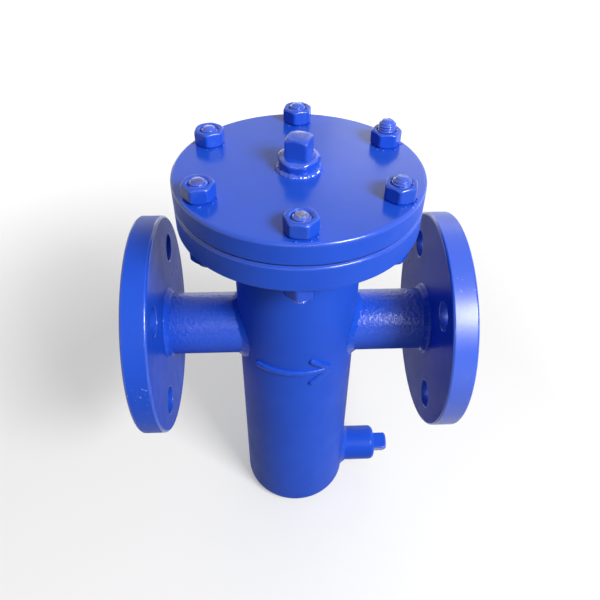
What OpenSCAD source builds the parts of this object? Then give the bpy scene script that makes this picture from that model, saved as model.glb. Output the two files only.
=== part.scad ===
// In-line basket strainer of welded steel, with two pipe flanges and a bolted cover.
// The origin is the middle of the base, +Z is up, and the liquid flows towards +X.

/* [Pipe connections] */
// Distance between the two sealing faces
face_to_face = 200; // [190:1:230]
// Outside diameter of a pipe flange
flange_od = 140; // [134:1:160]
// Thickness of a pipe flange at its rim
flange_t = 15; // [12:0.5:20]
// Outside diameter of the raised sealing face
raised_face_od = 76; // [66:1:78]
// Height of the raised sealing face
raised_face_h = 1.5; // [1:0.5:3]
// Bolt circle of a pipe flange
flange_pcd = 100; // [98:1:108]
// Diameter of a bolt hole in a pipe flange
flange_hole_d = 18; // [14:1:19]
// Bolt holes in a pipe flange
flange_hole_count = 4; // [4:4:8]
// Outside diameter of a neck
neck_od = 40; // [37:1:46]
// Bore of a neck
neck_bore = 32; // [25:1:35]
// How far a neck ends behind the sealing face
neck_setback = 4; // [3:0.5:6]

/* [Body] */
// Outside diameter of the body tube
body_od = 76; // [73:1:82]
// Wall of the body tube
body_wall = 4; // [3:0.25:5]
// Height of the body flange's face above the base
body_h = 265; // [250:0.5:300]
// Height of the pipe axis above the base
pipe_axis_z = 166; // [158:1:180]
// Outside diameter of the body flange and of the cover on it
body_flange_od = 136; // [133:1:150]
// Thickness of the body flange
body_flange_t = 15; // [12:0.5:20]
// Height of the bottom cap
cap_h = 12; // [10:0.5:14]
// Thickness of the bottom cap's floor
cap_floor_t = 5; // [3:0.5:6]
// Outer edge radius of the bottom cap
cap_edge_r = 8; // [3:0.5:8]

/* [Cover] */
// Thickness of the cover
cover_t = 13; // [10:0.5:18]
// Radius of the cover's upper edge
cover_edge_r = 2; // [1:0.25:3]
// Thickness of the cover gasket
gasket_t = 1; // [0.5:0.25:3]
// How far the gasket's edge lies inside the cover's edge
gasket_inset = 1; // [0.5:0.5:2]
// From the studs' middles to the cover's edge
stud_edge = 10.5; // [9.5:0.25:12]
// Diameter of a stud
stud_d = 10; // [8:0.5:11]
// Width of a nut across its flats
nut_af = 15.5; // [15:0.5:17]
// Height of a nut
nut_h = 8.4; // [6:0.2:10]

/* [Plugs] */
// Diameter of the thread that the vent and drain plugs share
plug_thread_d = 16.66; // [15:0.02:17]
// Width of a plug's square head
plug_square = 12.5; // [11:0.1:14]
// Length of a plug's square head
plug_head_l = 10.3; // [8:0.1:14]
// Outside diameter of the vent socket
vent_socket_od = 22.5; // [21.5:0.5:26]
// Height of the vent socket
vent_socket_h = 8; // [6:0.5:16]
// Outside diameter of the drain socket
drain_socket_od = 27; // [25:0.5:28]
// How far the drain socket stands out of the body tube
drain_socket_l = 25.5; // [20:0.5:36]
// Height of the drain axis above the base
drain_z = 25; // [25:0.5:34]
// Length of the drain plug's thread
drain_thread_l = 14; // [10:0.5:18]

/* [Basket] */
// Slope of the seat plate
seat_angle = 35; // [33:0.5:40]
// Thickness of the seat plate
seat_t = 3; // [2:0.5:4]
// From the basket's rim to the body's wall
rim_gap = 2.5; // [1.5:0.25:4]
// Wall of the perforated basket
basket_wall = 1; // [0.8:0.1:1.5]
// Height of the basket's floor above the base
basket_floor_z = 22; // [14:1:30]
// Thickness of the basket's floor
basket_floor_t = 2; // [1:0.25:3]
// Thickness of the basket's slanted rim
rim_t = 2.5; // [1.5:0.25:4]
// Width of the basket's slanted rim
rim_w = 6.5; // [6:0.25:7]
// Thickness of the mesh lining
mesh_t = 0.6; // [0.4:0.1:1]
// Diameter of a perforation
perforation_d = 6; // [4:0.5:7]
// Perforations in one row round the basket
perforation_count = 14; // [10:2:16]
// Distance between two rows of perforations
perforation_pitch = 9.5; // [9:0.25:14]
// Diameter of the handle's wire
handle_d = 4; // [3:0.25:5]

/* [Hidden] */
$fn = 96;
paint = [0.14, 0.27, 0.78];
bare_steel = [0.72, 0.73, 0.74];
gasket_colour = [0.12, 0.12, 0.12];

// Places where plain faces of two moving pieces stay apart
stud_hole_clearance = 0.5;
thread_clearance = 0.05;
nut_seat_clearance = 0.05;
plug_end_clearance = 0.5;
seat_clearance = 0.1;
basket_clearance = 1;
mesh_clearance = 0.1;
handle_clearance = 4;

// Edge sizes and weld legs
edge = 1;
nut_edge = 0.6;
nut_chamfer = 0.25;
socket_edge = 1.2;
drain_edge = 4;
cap_inner_r = 3;
flange_weld = 3;
neck_weld = 2.5;
drain_weld_leg = 3;
vent_weld_leg = 1.5;
weld_gap = 0.09;
weld_bulge = 0.62;
weld_steps = 48;

// How far the cover and the body flange stand turned from square to the pipe
cover_turn = -1.4;

// Stud ends above their nuts and the angles that the nuts stopped at, counted from the outlet side
stud_count = 6;
stud_stick_out = [5.5, 2, 1, 1.5, 1, 3];
nut_angles = [58, 16, 23, 7, 48, 18];
stud_spare = 6.7;
vent_plug_angle = -21;
drain_plug_angle = 24;

// Rings of perforations in the basket's floor: how many, and where between its middle and its edge
floor_rings = [[1, 0], [6, 0.4], [12, 0.73]];

body_r = body_od / 2;
bore_r = body_r - body_wall;
neck_r = neck_od / 2;
neck_wall = neck_r - neck_bore / 2;
bore_weld = min(neck_wall - 1, neck_setback - 1);
cover_od = body_flange_od;
bolt_circle = cover_od - 2 * stud_edge;
first_stud = 180 / stud_count + cover_turn;
cover_z = body_h + gasket_t;
cover_top = cover_z + cover_t;
flange_under = body_h - body_flange_t;
stud_hole_d = stud_d + 2 * stud_hole_clearance;
stud_l = cover_top - flange_under + 2 * nut_h + stud_spare;
nut_corner_r = nut_af / 2 / cos(30);
nut_bore_r = stud_d / 2 + thread_clearance;
plug_r = plug_thread_d / 2 - thread_clearance;
plug_corner_r = plug_square / sqrt(2);
vent_hole_d = plug_thread_d - 3;
drain_end_x = body_r + drain_socket_l;
rim_r = bore_r - rim_gap;
basket_r = rim_r - rim_w;
mesh_r = basket_r - basket_wall - mesh_clearance;
rim_top = seat_clearance + rim_t;
handle_r = basket_r + rim_w / 2;
handle_bend_z = cover_z - handle_clearance - handle_d / 2 - handle_r;
reach = 4 * body_od;

// Height of the seat plate's upper face
function seat_z(x) = pipe_axis_z + x * tan(seat_angle);

// One corner of a fillet bead where a pipe of radius pipe_r meets the body tube, at an angle round the pipe
function bead_point(pipe_r, leg, angle, out, side) =
    let (
        y = (pipe_r + weld_gap + side * leg) * cos(angle),
        z = (pipe_r + weld_gap + side * leg) * sin(angle)
    )
    [sqrt(pow(body_r + weld_gap, 2) - y * y) + out * leg, y, z];

// Turns an upright shape to lie along +X
module along_x() {
    rotate([0, 90, 0]) children();
}

// Repeats a shape on a circle
module round_pattern(count, diameter, first = 0) {
    for (i = [0:count - 1])
        rotate([0, 0, first + 360 * i / count]) translate([diameter / 2, 0, 0]) children();
}

// A layer parallel to the sloping seat, between two distances above it
module seat_layer(low, high) {
    translate([0, 0, pipe_axis_z])
        rotate([0, -seat_angle, 0])
            translate([-reach, -reach, low])
                cube([2 * reach, 2 * reach, high - low]);
}

// Everything above the basket's rim
module above_rim() {
    seat_layer(rim_top, reach);
}

// A disc with broken edges and a hole
module ring(diameter, hole_d, height) {
    rotate_extrude() polygon([
        [hole_d / 2, 0],
        [diameter / 2 - edge, 0],
        [diameter / 2, edge],
        [diameter / 2, height - edge],
        [diameter / 2 - edge, height],
        [hole_d / 2, height]
    ]);
}

// The studs' clearance holes
module stud_holes(low, high) {
    translate([0, 0, low - edge])
        round_pattern(stud_count, bolt_circle, first_stud)
            cylinder(d = stud_hole_d, h = high - low + 2 * edge);
}

// Moves a shape to one of the studs
module at_stud(i) {
    angle = first_stud + 360 * i / stud_count;
    rotate([0, 0, angle]) translate([bolt_circle / 2, 0, 0]) rotate([0, 0, -angle]) children();
}

// A hexagon nut with turned corners, standing on z = 0
module nut(angle) {
    face_r = nut_af / 2 - nut_chamfer;
    corner_drop = (nut_corner_r - face_r) * tan(30);
    rotate([0, 0, angle]) intersection() {
        cylinder(r = nut_corner_r, h = nut_h, $fn = 6);
        rotate_extrude() polygon([
            [nut_bore_r, nut_edge],
            [nut_bore_r + nut_edge, 0],
            [face_r, 0],
            [nut_corner_r, corner_drop],
            [nut_corner_r, nut_h - corner_drop],
            [face_r, nut_h],
            [nut_bore_r + nut_edge, nut_h],
            [nut_bore_r, nut_h - nut_edge]
        ]);
    }
}

// A square-headed screwed plug, with its thread below z = 0 and its head above
module square_plug(thread_l) {
    corner_drop = (plug_corner_r - plug_square / 2) * tan(30);
    rotate_extrude() polygon([
        [0, -thread_l],
        [plug_r - edge, -thread_l],
        [plug_r, edge - thread_l],
        [plug_r, -edge / 2],
        [plug_r - edge / 2, 0],
        [0, 0]
    ]);
    intersection() {
        translate([-plug_square / 2, -plug_square / 2, 0])
            cube([plug_square, plug_square, plug_head_l]);
        rotate_extrude() polygon([
            [0, 0],
            [plug_corner_r, 0],
            [plug_corner_r, plug_head_l - corner_drop],
            [plug_square / 2, plug_head_l],
            [0, plug_head_l]
        ]);
    }
}

// A pipe flange welded to its neck, with the sealing face at z = 0 and the neck below
module pipe_flange() {
    rim = flange_od / 2;
    face = raised_face_od / 2;
    front = -raised_face_h;
    back = front - flange_t;
    color(paint) difference() {
        rotate_extrude() polygon([
            [neck_r, 0],
            [face, 0],
            [face, front],
            [rim - edge, front],
            [rim, front - edge],
            [rim, back + edge],
            [rim - edge, back],
            [neck_r + flange_weld, back],
            [neck_r + flange_weld * weld_bulge, back - flange_weld * weld_bulge],
            [neck_r, back - flange_weld],
            [neck_r, -neck_setback],
            [neck_r - bore_weld, -neck_setback],
            [neck_r, bore_weld - neck_setback]
        ]);
        translate([0, 0, back - edge])
            round_pattern(flange_hole_count, flange_pcd, 180 / flange_hole_count)
                cylinder(d = flange_hole_d, h = flange_t + 2 * edge);
    }
}

// A neck from the body tube to its flange, cut to sit on the tube
module neck() {
    color(paint) difference() {
        along_x() cylinder(d = neck_od, h = face_to_face / 2 - neck_setback);
        along_x() cylinder(d = neck_bore, h = face_to_face / 2);
        translate([0, 0, -neck_od]) cylinder(r = body_r, h = 2 * neck_od);
    }
}

// A fillet weld round a pipe that sits on the body tube towards +X
module saddle_bead(pipe_r, leg) {
    corners = [[0, 0], [1, 0], [weld_bulge, weld_bulge], [0, 1]];
    sides = len(corners);
    function at(i, k) = (i % weld_steps) * sides + k % sides;
    color(paint) polyhedron(
        points = [
            for (i = [0:weld_steps - 1], c = corners)
                bead_point(pipe_r, leg, 360 * i / weld_steps, c[0], c[1])
        ],
        faces = [
            for (i = [0:weld_steps - 1], k = [0:sides - 1]) each [
                [at(i, k), at(i, k + 1), at(i + 1, k + 1)],
                [at(i, k), at(i + 1, k + 1), at(i + 1, k)]
            ]
        ]
    );
}

module body_tube() {
    color(paint) difference() {
        translate([0, 0, cap_h]) cylinder(r = body_r, h = body_h - cap_h);
        cylinder(r = bore_r, h = body_h + edge);
        translate([-body_od, 0, pipe_axis_z]) along_x() cylinder(d = neck_bore, h = 2 * body_od);
        translate([0, 0, drain_z]) along_x() cylinder(d = plug_thread_d, h = body_od);
    }
}

module bottom_cap() {
    color(paint) rotate_extrude() difference() {
        union() {
            square([body_r - cap_edge_r, cap_h]);
            translate([0, cap_edge_r]) square([body_r, cap_h - cap_edge_r]);
            translate([body_r - cap_edge_r, cap_edge_r]) intersection() {
                circle(cap_edge_r);
                translate([0, -cap_edge_r]) square([cap_edge_r, cap_edge_r]);
            }
        }
        translate([0, cap_floor_t]) {
            square([bore_r - cap_inner_r, cap_h]);
            translate([0, cap_inner_r]) square([bore_r, cap_h]);
            translate([bore_r - cap_inner_r, cap_inner_r]) circle(cap_inner_r);
        }
    }
}

module body_flange() {
    color(paint) difference() {
        translate([0, 0, flange_under]) union() {
            ring(body_flange_od, body_od, body_flange_t);
            rotate_extrude() polygon([
                [body_r, 0],
                [body_r, -flange_weld],
                [body_r + flange_weld * weld_bulge, -flange_weld * weld_bulge],
                [body_r + flange_weld, 0]
            ]);
        }
        stud_holes(flange_under, body_h);
    }
}

module seat_plate() {
    color(bare_steel) difference() {
        intersection() {
            cylinder(r = bore_r, h = body_h);
            seat_layer(-seat_t, 0);
        }
        cylinder(r = basket_r + basket_clearance, h = body_h);
    }
}

module inlet_neck() {
    translate([0, 0, pipe_axis_z]) mirror([1, 0, 0]) neck();
}

module outlet_neck() {
    translate([0, 0, pipe_axis_z]) neck();
}

module inlet_flange() {
    translate([-face_to_face / 2, 0, pipe_axis_z]) mirror([1, 0, 0]) along_x() pipe_flange();
}

module outlet_flange() {
    translate([face_to_face / 2, 0, pipe_axis_z]) along_x() pipe_flange();
}

module inlet_weld() {
    translate([0, 0, pipe_axis_z]) mirror([1, 0, 0]) saddle_bead(neck_r, neck_weld);
}

module outlet_weld() {
    translate([0, 0, pipe_axis_z]) saddle_bead(neck_r, neck_weld);
}

module drain_socket() {
    end_r = drain_socket_od / 2 - drain_edge;
    color(paint) translate([0, 0, drain_z]) difference() {
        along_x() rotate_extrude() {
            square([drain_socket_od / 2, drain_end_x - drain_edge]);
            square([end_r, drain_end_x]);
            translate([end_r, drain_end_x - drain_edge]) intersection() {
                circle(drain_edge);
                square(drain_edge);
            }
        }
        along_x() cylinder(d = plug_thread_d, h = drain_end_x + edge);
        translate([0, 0, -drain_socket_od]) cylinder(r = body_r, h = 2 * drain_socket_od);
    }
}

module drain_weld() {
    translate([0, 0, drain_z]) saddle_bead(drain_socket_od / 2, drain_weld_leg);
}

module drain_plug() {
    color(paint) translate([drain_end_x, 0, drain_z])
        rotate([drain_plug_angle, 0, 0]) along_x() square_plug(drain_thread_l);
}

module cover_gasket() {
    color(gasket_colour) difference() {
        translate([0, 0, body_h]) cylinder(d = cover_od - 2 * gasket_inset, h = gasket_t);
        translate([0, 0, body_h - edge]) cylinder(r = bore_r, h = gasket_t + 2 * edge);
        stud_holes(body_h, cover_z);
    }
}

module cover() {
    outer = cover_od / 2;
    flat_r = outer - cover_edge_r;
    side_h = cover_t - cover_edge_r;
    color(paint) difference() {
        translate([0, 0, cover_z]) rotate_extrude() {
            polygon([
                [vent_hole_d / 2, 0],
                [outer - edge, 0],
                [outer, edge],
                [outer, side_h],
                [flat_r, side_h],
                [flat_r, cover_t],
                [vent_hole_d / 2, cover_t]
            ]);
            translate([flat_r, side_h]) intersection() {
                circle(cover_edge_r);
                square(cover_edge_r);
            }
        }
        stud_holes(cover_z, cover_top);
    }
}

module vent_socket() {
    outer = vent_socket_od / 2;
    bore = plug_thread_d / 2;
    color(paint) translate([0, 0, cover_top]) rotate_extrude() polygon([
        [bore, 0],
        [outer, 0],
        [outer, vent_socket_h - socket_edge],
        [outer - socket_edge / 2, vent_socket_h],
        [bore + socket_edge / 2, vent_socket_h],
        [bore, vent_socket_h - socket_edge / 2]
    ]);
}

module vent_weld() {
    outer = vent_socket_od / 2;
    color(paint) translate([0, 0, cover_top]) rotate_extrude() polygon([
        [outer, 0],
        [outer + vent_weld_leg, 0],
        [outer + vent_weld_leg * weld_bulge, vent_weld_leg * weld_bulge],
        [outer, vent_weld_leg]
    ]);
}

module vent_plug() {
    color(paint) translate([0, 0, cover_top + vent_socket_h])
        rotate([0, 0, vent_plug_angle]) square_plug(vent_socket_h - plug_end_clearance);
}

module stud(i) {
    stud_r = stud_d / 2;
    color(bare_steel) at_stud(i) translate([0, 0, cover_top + nut_h + stud_stick_out[i] - stud_l])
        rotate_extrude() polygon([
            [0, 0],
            [stud_r - edge, 0],
            [stud_r, edge],
            [stud_r, stud_l - edge],
            [stud_r - edge, stud_l],
            [0, stud_l]
        ]);
}

module lower_nut(i) {
    color(paint) at_stud(i) translate([0, 0, flange_under - nut_seat_clearance - nut_h])
        nut(nut_angles[stud_count - 1 - i]);
}

module cover_nut(i) {
    color(paint) at_stud(i) translate([0, 0, cover_top + nut_seat_clearance]) nut(nut_angles[i]);
}

// The perforated wall, with every second row set half a step round
module basket_shell() {
    step = 360 / perforation_count;
    first_row = basket_floor_z + basket_floor_t + perforation_d;
    last_row = seat_z(basket_r);
    land = seat_t + perforation_d;
    color(bare_steel) difference() {
        translate([0, 0, basket_floor_z]) cylinder(r = basket_r, h = body_h);
        cylinder(r = basket_r - basket_wall, h = 2 * body_h);
        above_rim();
        for (row = [0:floor((last_row - first_row) / perforation_pitch)])
            for (hole = [0:perforation_count - 1])
                let (
                    angle = step * (hole + (row % 2) / 2),
                    z = first_row + row * perforation_pitch
                )
                if (z < seat_z(basket_r * cos(angle)) - land)
                    rotate([0, 0, angle])
                        translate([basket_r - 2 * basket_wall, 0, z])
                            along_x() cylinder(d = perforation_d, h = 3 * basket_wall);
    }
}

module basket_mesh() {
    color(bare_steel) difference() {
        translate([0, 0, basket_floor_z + basket_floor_t]) cylinder(r = mesh_r, h = body_h);
        cylinder(r = mesh_r - mesh_t, h = 2 * body_h);
        above_rim();
    }
}

module basket_floor() {
    floor_r = basket_r - basket_wall;
    color(bare_steel) translate([0, 0, basket_floor_z]) difference() {
        cylinder(r = floor_r, h = basket_floor_t);
        for (ring = floor_rings)
            translate([0, 0, -edge])
                round_pattern(ring[0], 2 * floor_r * ring[1])
                    cylinder(d = perforation_d, h = basket_floor_t + 2 * edge);
    }
}

module basket_rim() {
    color(bare_steel) difference() {
        intersection() {
            cylinder(r = rim_r, h = body_h);
            seat_layer(seat_clearance, rim_top);
        }
        cylinder(r = basket_r, h = body_h);
    }
}

// A bent wire whose feet stand on the slanted rim
module basket_handle() {
    color(bare_steel) {
        difference() {
            for (side = [-1, 1])
                translate([0, side * handle_r, pipe_axis_z])
                    cylinder(d = handle_d, h = handle_bend_z - pipe_axis_z);
            seat_layer(-reach, rim_top);
        }
        translate([0, 0, handle_bend_z]) rotate([90, 0, 90])
            rotate_extrude(angle = 180) translate([handle_r, 0]) circle(d = handle_d);
    }
}

body_tube();
bottom_cap();
body_flange();
seat_plate();
inlet_neck();
outlet_neck();
inlet_flange();
outlet_flange();
inlet_weld();
outlet_weld();
drain_socket();
drain_weld();
drain_plug();
cover_gasket();
cover();
vent_socket();
vent_weld();
vent_plug();
for (i = [0:stud_count - 1]) stud(i);
for (i = [0:stud_count - 1]) lower_nut(i);
for (i = [0:stud_count - 1]) cover_nut(i);
basket_shell();
basket_mesh();
basket_floor();
basket_rim();
basket_handle();
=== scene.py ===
"""Looks of the welded basket strainer: blue enamel, weld beads, threads and a wire-lined basket.

Every length is in metres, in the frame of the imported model: +Z up, +X from inlet to outlet.
"""

import math

import bmesh
import bpy
from mathutils import Matrix, Vector, noise


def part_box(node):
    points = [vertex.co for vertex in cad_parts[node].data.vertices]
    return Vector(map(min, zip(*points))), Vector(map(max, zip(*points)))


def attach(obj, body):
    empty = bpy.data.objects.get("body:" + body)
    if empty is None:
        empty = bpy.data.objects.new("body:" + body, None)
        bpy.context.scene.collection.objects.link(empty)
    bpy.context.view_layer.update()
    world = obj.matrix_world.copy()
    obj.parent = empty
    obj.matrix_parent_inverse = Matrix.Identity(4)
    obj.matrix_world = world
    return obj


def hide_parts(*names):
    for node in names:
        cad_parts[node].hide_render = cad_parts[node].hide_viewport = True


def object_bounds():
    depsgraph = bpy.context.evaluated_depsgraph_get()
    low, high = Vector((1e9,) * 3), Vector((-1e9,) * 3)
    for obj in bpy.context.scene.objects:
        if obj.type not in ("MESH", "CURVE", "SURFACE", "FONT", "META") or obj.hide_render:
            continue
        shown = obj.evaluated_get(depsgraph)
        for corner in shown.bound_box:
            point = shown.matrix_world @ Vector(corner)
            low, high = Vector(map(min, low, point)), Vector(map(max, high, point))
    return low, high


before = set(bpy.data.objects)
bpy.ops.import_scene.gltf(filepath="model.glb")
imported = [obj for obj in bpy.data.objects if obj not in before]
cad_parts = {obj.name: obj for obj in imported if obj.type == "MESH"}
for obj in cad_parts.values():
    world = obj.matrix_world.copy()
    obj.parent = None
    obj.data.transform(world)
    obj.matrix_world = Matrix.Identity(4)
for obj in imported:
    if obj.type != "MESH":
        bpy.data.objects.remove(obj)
cad_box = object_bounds()
MM = 0.001
TAU = 2 * math.pi
UP = Vector((0, 0, 1))

# Camera: place, turn to the right, tilt down and roll in degrees, focal length in photograph pixels
CAMERA_PLACE = Vector((-0.01374, -0.27985, 0.43664))
CAMERA_YAW = 3.18
CAMERA_TILT = 42.01
CAMERA_ROLL = 0.98
CAMERA_FOCUS = 588.4
CAMERA_NEAR = 0.01
PHOTO_SIZE = 600
SENSOR_WIDTH = 36.0

# Lamps: azimuth to the right of the front and elevation in degrees, distance, width, height and power
LAMPS = {
    "key": (41, 40, 1.4, 0.5, 0.35, 22.0),
    "strip": (14, 30, 1.2, 1.8, 0.035, 2.9),
    "back": (188, 10, 1.9, 1.4, 0.6, 5.0),
    "sheen": (158, 27, 1.9, 0.9, 0.6, 1.7),
}

# Fill light: its bright side, and its least and greatest strength at two cosines from that side
BRIGHT_SIDE = Vector((0.8, 0.3, 0.55)).normalized()
FILL_COSINES = (-0.1, 0.9)
FILL_STRENGTHS = (0.02, 0.65)

# Floor: its colour where it is seen and in the light it throws back, and its glow near by and far off
FLOOR_SEEN = (0.5, 0.5, 0.5, 1)
FLOOR_BOUNCE = (0.1, 0.1, 0.1, 1)
FLOOR_DISTANCES = (0.25, 0.9)
FLOOR_GLOWS = (0.38, 0.95)
FLOOR_REACH = 8.0

# Colours as linear red, green, blue and alpha
WHITE = (1, 1, 1, 1)
ENAMEL = (0.0125, 0.078, 0.575, 1)
ENAMEL_DEEP = (0.0100, 0.066, 0.51, 1)
PRIMER = (0.3, 0.38, 0.6, 1)
BARE_STEEL = (0.34, 0.33, 0.31, 1)
SCUFFED_STEEL = (0.13, 0.115, 0.105, 1)
RUST = (0.12, 0.05, 0.022, 1)
INNER_STEEL = (0.17, 0.165, 0.16, 1)
INNER_STAIN = (0.09, 0.08, 0.07, 1)
STAINLESS = (0.56, 0.56, 0.55, 1)
STAINLESS_DULL = (0.36, 0.36, 0.36, 1)
GASKET = (0.012, 0.012, 0.014, 1)
GASKET_FIBRE = (0.03, 0.03, 0.032, 1)
GASKET_EDGE = (0.004, 0.012, 0.085, 1)

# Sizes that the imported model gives
STUDS = range(1, 7)
BODY_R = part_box("body_tube")[1].x
NECK_LOW, NECK_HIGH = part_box("outlet_neck")
NECK_R = NECK_HIGH.y
PIPE_Z = (NECK_LOW.z + NECK_HIGH.z) / 2
FLANGE_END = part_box("outlet_flange")[1].x
DRAIN_LOW, DRAIN_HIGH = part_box("drain_socket")
DRAIN_R = DRAIN_HIGH.y
DRAIN_Z = (DRAIN_LOW.z + DRAIN_HIGH.z) / 2
COVER_LOW, COVER_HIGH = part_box("cover")
VENT_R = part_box("vent_socket")[1].x
VENT_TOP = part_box("vent_socket")[1].z
GASKET_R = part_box("cover_gasket")[1].x
VENT_PLUG_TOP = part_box("vent_plug")[1].z
DRAIN_PLUG_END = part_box("drain_plug")[1].x

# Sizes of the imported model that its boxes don't give
BODY_WALL = 4 * MM
NECK_WALL = 4 * MM
CAP_FLOOR = 5 * MM
FLANGE_WELD = 3 * MM
FLANGE_T = 15 * MM
RAISED_FACE = 1.5 * MM

# Zones of bare steel: how wide their edges are, how far they reach and how fine their tool rings are
FADE = 0.1 * MM
BORE_MARGIN = 0.2 * MM
NECK_MARGIN = 1.2 * MM
BORE_R = BODY_R - BODY_WALL + BORE_MARGIN
NECK_BORE_R = NECK_R - NECK_WALL + NECK_MARGIN
SEALING_R = 38.5 * MM
TOOL_FEED = 0.7 * MM
PAINT_DEPTH = 1 * MM


def spoke(angle):
    """The level direction at an angle from +X."""
    return Vector((math.cos(angle), math.sin(angle), 0))


def link(name, data):
    """A new object in the scene for a mesh, a curve, a lamp or a camera."""
    thing = bpy.data.objects.new(name, data)
    bpy.context.scene.collection.objects.link(thing)
    return thing


def smooth(mesh, crease):
    """Smooth shading, with creases where faces meet at more than an angle in degrees."""
    mesh.shade_smooth()
    mesh.set_sharp_from_angle(angle=math.radians(crease))


def paint(piece, material):
    """Gives a piece one material."""
    piece.data.materials.clear()
    piece.data.materials.append(material)


# Materials


def new_material(name):
    """A node material with its tree and its Principled shader."""
    material = bpy.data.materials.new(name)
    material.use_nodes = True
    tree = material.node_tree
    return material, tree, tree.nodes["Principled BSDF"]


def coordinates(tree, stretch=(1, 1, 1)):
    """Object coordinates in metres, stretched along each axis."""
    source = tree.nodes.new("ShaderNodeTexCoord")
    mapping = tree.nodes.new("ShaderNodeMapping")
    mapping.inputs["Scale"].default_value = stretch
    tree.links.new(source.outputs["Object"], mapping.inputs["Vector"])
    return mapping.outputs["Vector"]


def axis_value(tree, axis):
    """The object coordinate along one axis, by its letter."""
    split = tree.nodes.new("ShaderNodeSeparateXYZ")
    tree.links.new(coordinates(tree), split.inputs["Vector"])
    return split.outputs[axis]


def axis_distance(tree, across, middle=(0, 0, 0)):
    """The distance from an axis through a middle point. across keeps the two other axes."""
    offset = tree.nodes.new("ShaderNodeVectorMath")
    offset.operation = "SUBTRACT"
    offset.inputs[1].default_value = middle
    tree.links.new(coordinates(tree, across), offset.inputs[0])
    length = tree.nodes.new("ShaderNodeVectorMath")
    length.operation = "LENGTH"
    tree.links.new(offset.outputs["Vector"], length.inputs[0])
    return length.outputs["Value"]


def cloud(tree, size, detail=2.0, stretch=(1, 1, 1)):
    """Noise from 0 to 1 with features of a size in metres."""
    texture = tree.nodes.new("ShaderNodeTexNoise")
    texture.inputs["Scale"].default_value = 1 / size
    texture.inputs["Detail"].default_value = detail
    tree.links.new(coordinates(tree, stretch), texture.inputs["Vector"])
    return texture.outputs["Fac"]


def ramp(tree, value, start, end, low=0.0, high=1.0):
    """Maps a value from one range to another, and holds it at the ends."""
    node = tree.nodes.new("ShaderNodeMapRange")
    for key, number in (("From Min", start), ("From Max", end), ("To Min", low), ("To Max", high)):
        node.inputs[key].default_value = number
    tree.links.new(value, node.inputs["Value"])
    return node.outputs["Result"]


def calculate(tree, operation, first, second):
    """One arithmetic step on two sockets or numbers."""
    node = tree.nodes.new("ShaderNodeMath")
    node.operation = operation
    for socket, value in zip(node.inputs, (first, second)):
        if isinstance(value, (int, float)):
            socket.default_value = value
        else:
            tree.links.new(value, socket)
    return node.outputs["Value"]


def blend_colours(tree, factor, first, second):
    """Mixes two colours or colour sockets by a factor socket."""
    node = tree.nodes.new("ShaderNodeMix")
    node.data_type = "RGBA"
    tree.links.new(factor, node.inputs["Factor"])
    for socket, value in ((node.inputs[6], first), (node.inputs[7], second)):
        if isinstance(value, tuple):
            socket.default_value = value
        else:
            tree.links.new(value, socket)
    return node.outputs[2]


def add_bump(tree, shader, height, depth):
    """Makes a shader's surface uneven by a height socket, to a depth in metres."""
    bump = tree.nodes.new("ShaderNodeBump")
    bump.inputs["Distance"].default_value = depth
    tree.links.new(height, bump.inputs["Height"])
    tree.links.new(bump.outputs["Normal"], shader.inputs["Normal"])


def turned_steel(distance):
    """Steel turned on a lathe round an axis: fine tool rings and a few stains."""

    def colour(tree):
        rings = tree.nodes.new("ShaderNodeTexNoise")
        rings.noise_dimensions = "1D"
        rings.inputs["Scale"].default_value = 1 / TOOL_FEED
        tree.links.new(distance(tree), rings.inputs["W"])
        stains = ramp(tree, cloud(tree, 0.02, 5.0), 0.4, 0.75, 0.0, 0.5)
        shade = calculate(tree, "ADD", ramp(tree, rings.outputs["Fac"], 0.3, 0.7, 0.0, 0.6), stains)
        return blend_colours(tree, shade, BARE_STEEL, SCUFFED_STEEL)

    return colour


def scuffed_steel(tree):
    """Steel that shows through thin paint, grey with a little brown."""
    spots = ramp(tree, cloud(tree, 0.0012, 4.0), 0.35, 0.65)
    return blend_colours(tree, spots, BARE_STEEL, SCUFFED_STEEL)


def rusty_steel(tree):
    """Cut steel with a film of rust in places."""
    spots = ramp(tree, cloud(tree, 0.002, 3.0), 0.4, 0.6)
    return blend_colours(tree, spots, SCUFFED_STEEL, RUST)


def stained_steel(tree):
    """Dull steel inside the body, stained by water."""
    stains = ramp(tree, cloud(tree, 0.015, 5.0), 0.35, 0.65)
    return blend_colours(tree, stains, INNER_STEEL, INNER_STAIN)


def primer(tree):
    """The pale coat under the enamel, with specks of enamel left on it."""
    specks = ramp(tree, cloud(tree, 0.001, 3.0), 0.4, 0.7)
    return blend_colours(tree, specks, PRIMER, ENAMEL)


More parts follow.
